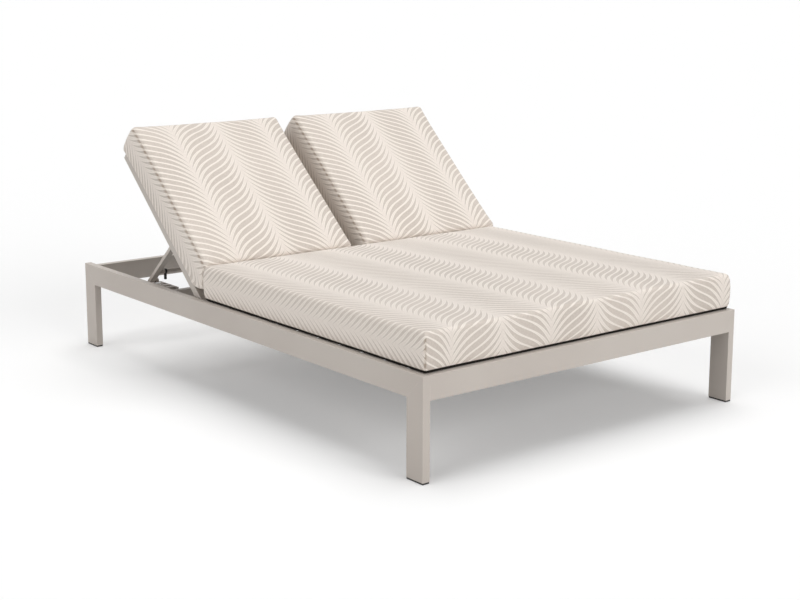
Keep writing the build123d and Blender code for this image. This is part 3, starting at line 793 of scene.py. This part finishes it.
# %% [markdown]
# ## Stitches along a line
#
# Each stitch is a short bead of thread, and there are hundreds of them, so Geometry Nodes lay them.
# The tree turns a line into evenly spaced points, puts a bead on each along the line's own way,
# turned a little by chance, and makes real mesh of them. The bead has only 40 faces.

# %% Stitches by Geometry Nodes
STITCH_PITCH = 0.0062
STITCH_LENGTH = 0.0042
THREAD = 0.0005
BEAD = {"Segments": 8, "Rings": 5}
STITCH_SEED = 11
STRAY = 0.1


def stitch_nodes():
    """Geometry nodes that lay a stitch at each step along the lines of a mesh."""
    group = bpy.data.node_groups.new("stitch_rows", "GeometryNodeTree")
    inputs = {
        "Rows": "NodeSocketGeometry",
        "Pitch": "NodeSocketFloat",
        "Length": "NodeSocketFloat",
        "Radius": "NodeSocketFloat",
        "Seed": "NodeSocketInt",
        "Thread": "NodeSocketMaterial",
    }
    for name, kind in inputs.items():
        group.interface.new_socket(name, in_out="INPUT", socket_type=kind)
    group.interface.new_socket("Stitches", in_out="OUTPUT", socket_type="NodeSocketGeometry")

    sewing = Tree(group)
    given = {name: sewing.node("NodeGroupInput", output=name) for name in inputs}
    rows = sewing.node("GeometryNodeMeshToCurve", Mesh=given["Rows"])
    by_length = {"mode": "LENGTH"}
    rows = sewing.node("GeometryNodeResampleCurve", by_length, Curve=rows, Length=given["Pitch"])
    half_sizes = (given["Radius"], given["Radius"], given["Length"] / 2.0)
    size = sewing.node("ShaderNodeCombineXYZ", None, *half_sizes)
    bead = sewing.node("GeometryNodeMeshUVSphere", **BEAD, Radius=1.0)
    bead = sewing.node("GeometryNodeTransform", Geometry=bead, Scale=size)
    way = sewing.node("GeometryNodeInputTangent")
    stray = sewing.node(
        "FunctionNodeRandomValue", {"data_type": "FLOAT_VECTOR"},
        Min=(-STRAY, -STRAY, -STRAY), Max=(STRAY, STRAY, STRAY), Seed=given["Seed"],
    )
    way = sewing.node("ShaderNodeVectorMath", {"operation": "ADD"}, way, stray)
    turn = sewing.node("FunctionNodeAlignRotationToVector", {"axis": "Z"}, Vector=way)
    placed = sewing.node("GeometryNodeInstanceOnPoints", Points=rows, Instance=bead, Rotation=turn)
    solid = sewing.node("GeometryNodeRealizeInstances", None, placed)
    painted = sewing.node("GeometryNodeSetMaterial", Geometry=solid, Material=given["Thread"])
    sewing.node("NodeGroupOutput", Stitches=painted)
    return group


stitch_group = stitch_nodes()
print("the stitches' tree has", len(stitch_group.nodes), "nodes")

# %% [markdown]
# ## From the flat cloth to the cushion
#
# A row of stitches is easiest to give on the flat cloth, beside the seam. The face of the cloth's
# map that holds a flat point also holds its place in the room, so the point is first looked up in
# the map, and then carried over by its place in that face.

# %% Find flat points on a cushion
def on_cloth(piece, rows):
    """Places in the room, and outward directions, of points on the flat cloth of a cushion."""
    mesh = piece.data
    flat_points = mesh.uv_layers[CLOTH_MAP].data
    faces = [face for face in mesh.polygons if face.material_index == 0]
    corners = [flat_points[loop].uv.to_3d() for face in faces for loop in face.loop_indices]
    flat = BVHTree.FromPolygons(corners, [range(4 * k, 4 * k + 4) for k in range(len(faces))])
    found = []
    for row in rows:
        spot, _, index, _ = flat.find_nearest(Vector((row[0], row[1], 0)))
        face = faces[index]
        ring = corners[4 * index:4 * index + 4]
        room = [mesh.vertices[vertex].co for vertex in face.vertices]
        for trio in ((0, 1, 2), (0, 2, 3)):
            place = barycentric_transform(spot, *(ring[k] for k in trio), *(room[k] for k in trio))
            if intersect_point_tri_2d(spot, *(ring[k] for k in trio)):
                break
        found.append((place, face.normal))
    return found


print("flat points are looked up on the map", CLOTH_MAP)

# %% [markdown]
# ## Sewing a row
#
# The looked-up points become a line of edges, a little above the cloth. The Geometry Nodes tree runs
# on it as a modifier, its inputs are set by their identifiers, and its result is kept as plain mesh.

# %% Sew rows of stitches
STITCH_SIDE = 0.004
STITCH_LIFT = 0.0002
ROW_STEP = 0.004


def sew(name, piece, rows):
    """Stitches on a cushion along rows, each from one point of its flat cloth to another."""
    points = []
    edges = []
    for start, end in rows:
        start, end = Vector(start), Vector(end)
        count = round((end - start).length / ROW_STEP)
        line = [start.lerp(end, step / count) for step in range(count + 1)]
        edges += [(len(points) + step, len(points) + step + 1) for step in range(count)]
        points += [place + STITCH_LIFT * out for place, out in on_cloth(piece, line)]
    guide = bpy.data.meshes.new(name)
    guide.from_pydata(points, edges, [])
    stitches = bpy.data.objects.new(name, guide)
    bpy.context.scene.collection.objects.link(stitches)
    nodes_on = stitches.modifiers.new("rows", "NODES")
    nodes_on.node_group = stitch_group
    values = {
        "Pitch": STITCH_PITCH,
        "Length": STITCH_LENGTH,
        "Radius": THREAD,
        "Seed": STITCH_SEED,
        "Thread": thread,
    }
    for item in stitch_group.interface.items_tree:
        if item.name in values:
            nodes_on[item.identifier] = values[item.name]
    sewn = plain_mesh(stitches)
    sewn.name = name
    stitches.modifiers.remove(nodes_on)
    stitches.data = sewn
    sewn.shade_smooth()
    print(name, len(sewn.polygons), "faces")
    return stitches


print("stitches lie", 1000 * STITCH_SIDE, "mm beside their seam")

# %% [markdown]
# ## The seat cushion's cloth
#
# One wide cushion covers the deck. Its top cloth falls over the edges like water, with a vertical
# seam at each front corner. Along the left edge the band that crosses the edge is eased, so that its
# Λ comes to the middle of the side, as it does in the photograph.

# %% Where the seat cushion lies, and its cloth
SIDE_SHIFTS = (0.004, 0.008)
CROWN_ROOM = 0.007
FIRST_V = -0.5685
SIDE_SPINE = 0.061
SEAM_CLEAR = 0.012
# Past every edge of the cloth.
FAR = 2.0

deck_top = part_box("seat_slats")[1].z
seat_low, seat_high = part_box("seat_cushion")
seat_left = seat_low.x + SIDE_SHIFTS[0]
seat_right = seat_high.x + SIDE_SHIFTS[1]
seat_size = ((seat_left, seat_low.y, deck_top), (seat_right, seat_high.y, seat_high.z - CROWN_ROOM))


def seat_across(x):
    """Cloth coordinate across the seat. It counts from the first V, and is eased at the left."""
    edge = BAND - SIDE_SPINE
    if x >= FIRST_V:
        return x - FIRST_V
    if x >= seat_left:
        return (x - FIRST_V) * edge / (FIRST_V - seat_left)
    return -edge + (x - seat_left)


seat_seams = [
    ("across", seat_across(seat_left), -FAR, seat_low.y - SEAM_CLEAR),
    ("across", seat_across(seat_right), -FAR, seat_low.y - SEAM_CLEAR),
    ("along", seat_low.y, -FAR, seat_across(seat_left) - SEAM_CLEAR),
    ("along", seat_low.y, seat_across(seat_right) + SEAM_CLEAR, FAR),
]
print("the seat cushion is", round(seat_right - seat_left, 3), "m wide")

# %% [markdown]
# ## The seat cushion's form
#
# The dark base cloth turns up over the lowest part of the sides, where it paints the shade of the gap
# as a black line between the cushion and the frame. That strip is set in at its seam. The rim lies on
# the side rails, which stand a little above the slats, so it is lifted by just that much.

# %% Seat cushion
SEAT_COUNTS = (106, 96, 9)
SEAT_RADII = (0.011, 0.028, 0.006)
SEAT_FORM = (0.005, 0.003, 0.004)
SEAT_PUFF = 0.005
RIM_LIFT = 0.0045
RIM_REACH = 0.018
RIM_HEIGHT = 0.05
DARK_ROWS = 1
BASE_SEAM = 0.0025
CORNER_SEAM = 0.001


def seat_pinch(cell, counts):
    """How far a seam pulls a cell in: those at the corners, and that of the dark strip."""
    at_corner = cell[0] in (0, counts[0]) and cell[1] in (0, counts[1])
    at_side = cell[0] in (0, counts[0]) or cell[1] in (0, counts[1])
    base = BASE_SEAM if at_side and cell[2] <= DARK_ROWS else 0.0
    return base + (CORNER_SEAM if at_corner and 0 < cell[2] < counts[2] else 0.0)


def smooth(shares):
    """Shares from 0 to 1, eased at both ends."""
    shares = np.clip(shares, 0, 1)
    return shares * shares * (3 - 2 * shares)


def fade(distance, reach):
    """From 1 at no distance to 0 at reach, smoothly."""
    return smooth(1 - distance / reach)


def raise_rim(points):
    """Lifts the lower rim of the seat cushion onto the side rails."""
    low, high = np.array(seat_size)
    rim = np.minimum(points[:, :2] - low[:2], high[:2] - points[:, :2]).min(axis=1)
    lift = RIM_LIFT * fade(np.maximum(rim, 0), RIM_REACH) * fade(points[:, 2] - deck_top, RIM_HEIGHT)
    return points + np.outer(lift, (0, 0, 1))


seat = make_cushion(
    "seat_cushion_cover", *seat_size, SEAT_COUNTS, SEAT_RADII, SEAT_FORM, SEAT_PUFF,
    (seat_across, lambda y: y), seat_seams, seat_pinch, raise_rim, DARK_ROWS,
)
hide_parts("seat_cushion")
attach(seat, "frame")

# %% [markdown]
# ## The seat cushion's stitches
#
# The seams at the front corners are sewn along the front panel. On the flat cloth their stitches
# run straight down from the top's front edge.

# %% Stitches of the seat cushion
CORNER_FROM, CORNER_TO = 0.016, 0.105

corner_rows = []
for across in (seat_across(seat_left) + STITCH_SIDE, seat_across(seat_right) - STITCH_SIDE):
    corner_rows.append(((across, seat_low.y - CORNER_FROM), (across, seat_low.y - CORNER_TO)))
seat_stitches = sew("seat_stitches", seat, corner_rows)
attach(seat_stitches, "frame")

# %% [markdown]
# ## The back cushions' form
#
# Each back has a cushion of its own, thicker than the seat's, which lies on the slats between the
# side tubes. It is built lying down, with its lower end at the hinge, and then turned up with the
# back. Its lower end is shaped to the corner between the slats and the seat cushion: round at the
# bottom, full where it meets the seat's rear and drawn back above it.

# %% Shape a back cushion and turn it up
HINGE = Vector((0, 0.229, 0.310))
BACK_TURN = math.radians(42.2)
BACK_START, BACK_END = 0.050, 0.716
# The lower end's place along the back, at heights above the middle of the side tubes.
END_HEIGHTS = (0.014, 0.062, 0.120, 0.145)
END_PLACES = (0.050, 0.004, 0.046, 0.040)
END_REACH = 0.16


def eased(value, places, levels):
    """A smooth curve through levels at places, which is level at each of them."""
    step = np.clip(np.searchsorted(places, value) - 1, 0, len(places) - 2)
    places, levels = np.array(places), np.array(levels)
    share = smooth((value - places[step]) / (places[step + 1] - places[step]))
    return levels[step] + share * (levels[step + 1] - levels[step])


def raise_up(points, shifts):
    """Shapes a lying cushion's sides and lower end, and takes it up to the raised back."""
    x, along, over = points.T
    (left_start, left_end), (right_start, right_end) = shifts
    up = (along - BACK_START) / (BACK_END - BACK_START)
    right = (x - x.min()) / (x.max() - x.min())
    x = x + up * ((1 - right) * (left_end - left_start) + right * (right_end - right_start))
    shift = eased(over, END_HEIGHTS, END_PLACES) - BACK_START
    along = along + shift * np.clip(1 - (along - BACK_START) / END_REACH, 0, 1)
    cos, sin = math.cos(BACK_TURN), math.sin(BACK_TURN)
    return np.column_stack([x, HINGE.y + along * cos - over * sin, HINGE.z + along * sin + over * cos])


print("a back cushion is", round(1000 * (BACK_END - BACK_START)), "mm long")

# %% [markdown]
# ## The back cushions
#
# The front panel is joined to the long sides by a seam, and runs over the top without one.

# %% Back cushions
BACK_UNDER, BACK_TOP = 0.014, 0.145
BACK_COUNTS = (54, 56, 12)
BACK_RADII = (0.019, 0.022, 0.016)
BACK_FORM = (0.004, 0.003, 0.004)
BACK_PUFF = 0.006
BACK_FIRST_V = 0.146
BACK_SEAM_DROP = 0.009
LONG_SEAM = 0.002
FREE_ROWS = 2
SEAM_END = 0.02
# How far each long side lies to the right of the CAD solid's, at its lower and its upper end.
LEFT_SIDES = ((0.009, 0.008), (0.004, -0.006))
RIGHT_SIDES = ((0.005, 0.015), (0.008, 0.018))


def back_pinch(cell, counts):
    """How far the long seams at the front of a back cushion pull a cell in."""
    at_side = cell[0] in (0, counts[0]) and cell[2] == counts[2]
    return LONG_SEAM if at_side and FREE_ROWS < cell[1] < counts[1] - FREE_ROWS else 0.0


def back_cushion(side, shifts):
    """The back cushion of one side."""
    low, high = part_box(side + "_back_cushion")
    left = low.x + shifts[0][0]
    right = high.x + shifts[1][0]
    seams = [
        ("across", -BACK_FIRST_V - BACK_SEAM_DROP, -FAR, BACK_END - SEAM_CLEAR),
        ("across", right - left - BACK_FIRST_V + BACK_SEAM_DROP, -FAR, BACK_END - SEAM_CLEAR),
    ]
    piece = make_cushion(
        side + "_back_cushion_cover", (left, BACK_START, BACK_UNDER), (right, BACK_END, BACK_TOP),
        BACK_COUNTS, BACK_RADII, BACK_FORM, BACK_PUFF,
        (lambda x: x - left - BACK_FIRST_V, lambda y: y), seams, back_pinch,
        lambda points: raise_up(points, shifts),
    )
    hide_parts(side + "_back_cushion")
    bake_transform(piece)
    rows = []
    for inward, seam in zip((STITCH_SIDE, -STITCH_SIDE), seams):
        across = seam[1] + inward
        rows.append(((across, BACK_START + SEAM_END), (across, BACK_END - SEAM_END)))
    stitches = sew(side + "_back_stitches", piece, rows)
    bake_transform(stitches)
    return piece


backs = [back_cushion("left", LEFT_SIDES), back_cushion("right", RIGHT_SIDES)]
print("the back cushions are", [back.name for back in backs])

# %% [markdown]
# ## The studio floor
#
# A pale floor runs far behind the lounger and is bright enough to melt into the white background,
# yet keeps a soft shadow. The floor adds a little white only for rays from the camera and for
# reflections, so it doesn't light the object.

# %% Floor
WHITE = (1.0, 1.0, 1.0, 1.0)
BLACK = (0.0, 0.0, 0.0, 1.0)
PAPER = (0.78, 0.78, 0.78, 1.0)
PAPER_GLOW = 0.22
FLOOR_REACH = 90.0


def seen_rays(tree):
    """1 for rays from the camera, and for those that a gloss or a clear piece sends on."""
    rays = [
        tree.node("ShaderNodeLightPath", output=ray)
        for ray in ("Is Camera Ray", "Is Glossy Ray", "Is Transmission Ray")
    ]
    either = tree.node("ShaderNodeMath", {"operation": "MAXIMUM"}, rays[0], rays[1])
    return tree.node("ShaderNodeMath", {"operation": "MAXIMUM"}, either, rays[2])


def studio_floor():
    floor_mesh = bpy.data.meshes.new("studio_floor")
    corners = [(x * FLOOR_REACH, y * FLOOR_REACH, 0) for x, y in ((-1, -1), (1, -1), (1, 1), (-1, 1))]
    floor_mesh.from_pydata(corners, [], [(0, 1, 2, 3)])
    floor = bpy.data.objects.new("studio_floor", floor_mesh)
    bpy.context.scene.collection.objects.link(floor)
    paper = Finish("studio_paper", Roughness=0.95, Specular_IOR_Level=0.0)
    paper.feed("Base Color", PAPER)
    paper.feed("Emission Color", paper.mix(seen_rays(paper), BLACK, WHITE))
    paper.feed("Emission Strength", PAPER_GLOW)
    floor_mesh.materials.append(paper.material)
    return floor


floor = studio_floor()
print("the floor is", 2 * FLOOR_REACH, "m wide, of", floor.data.materials[0].name)

# %% [markdown]
# ## The world
#
# The world lights the object very little, and evenly. What the camera and the reflections see of it
# is pure white, which is the photograph's background.

# %% World
AMBIENT = 0.13

world = bpy.data.worlds.new("studio_world")
bpy.context.scene.world = world
world.use_nodes = True
sky = Tree(world.node_tree)
lighting = sky.node("ShaderNodeBackground", Color=WHITE, Strength=AMBIENT)
backdrop = sky.node("ShaderNodeBackground", Color=WHITE, Strength=1.0)
choice = sky.node("ShaderNodeMixShader", None, seen_rays(sky), lighting, backdrop)
sky.put(world.node_tree.nodes["World Output"].inputs["Surface"], choice)
print("the world lights with", AMBIENT, "of white")

# %% [markdown]
# ## The lamps
#
# Three broad suns stand for large soft boxes: one almost straight above, one low in front of the
# foot end and one low on the left. A sun lights the whole floor evenly, which a lamp near the object
# can't, and the wider it is, the softer its shadow.

# %% Lamps
def sun(name, heading, height, spread, level):
    """A broad sun. heading is where it stands, in degrees from -Y towards +X, height its angle over
    the floor, and level how bright a pale surface that faces it becomes, with 1 for white."""
    data = bpy.data.lights.new(name, "SUN")
    data.energy = level * math.pi
    data.angle = math.radians(spread)
    made = bpy.data.objects.new(name, data)
    turn, lift = math.radians(heading), math.radians(height)
    flat = math.cos(lift)
    toward = Vector((math.sin(turn) * flat, -math.cos(turn) * flat, math.sin(lift)))
    made.rotation_euler = toward.to_track_quat("Z", "Y").to_euler()
    bpy.context.scene.collection.objects.link(made)
    return made


lamps = [
    sun("top_light", 122, 79, 52, 0.6),
    sun("front_light", 8, 16, 44, 0.52),
    sun("side_light", -88, 24, 50, 0.34),
]
print("lamps", [lamp.name for lamp in lamps])

# %% [markdown]
# ## The view transform
#
# The view transform is Standard, so that a colour leaves the render as it was written.

# %% The view transform
bpy.context.scene.view_settings.view_transform = "Standard"
